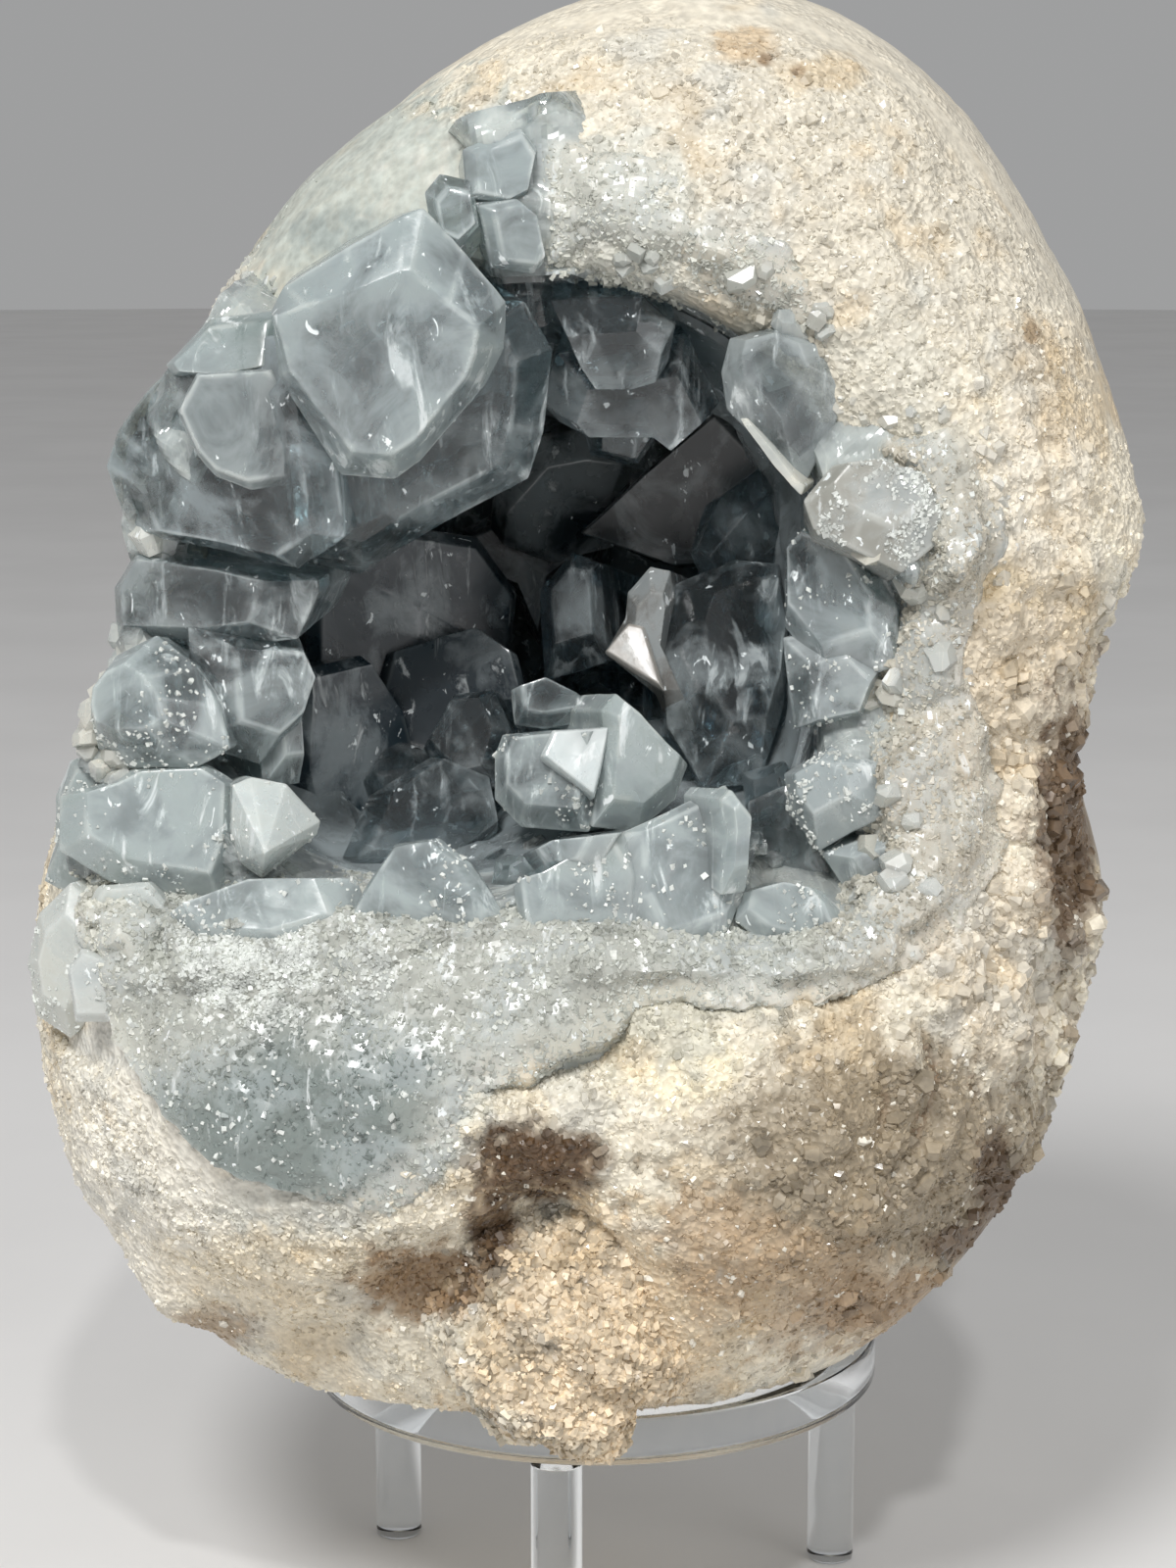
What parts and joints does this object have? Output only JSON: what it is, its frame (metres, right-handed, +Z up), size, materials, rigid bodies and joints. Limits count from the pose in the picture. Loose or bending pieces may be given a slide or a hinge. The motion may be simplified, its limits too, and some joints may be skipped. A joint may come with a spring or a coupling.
{
  "type": "celestite geode",
  "caption": "Tall egg-shaped geode broken open at the front, with pale blue crystals in its hollow, resting on a clear ring stand with round legs.",
  "frame": {"origin": "bottom centre of the whole object's box, on the surface that the stand's feet stand on", "axes": "+Z up through the leaning egg, +X to its right and -Y out of the open hollow, towards the viewer"},
  "size_m": [0.1372, 0.1126, 0.2113],
  "materials": {
    "rind": "rough, sugary, ground smooth on the egg's outside",
    "crystal": "clear to milky, with flat glossy faces",
    "acrylic": "polished clear acrylic"
  },
  "bodies": {
    "root": {"geode_rind": "rind", "crystal_crust": "crystal", "stand_ring": "acrylic", "stand_leg_1": "acrylic", "stand_leg_2": "acrylic", "stand_leg_3": "acrylic"}
  },
  "joints": []
}
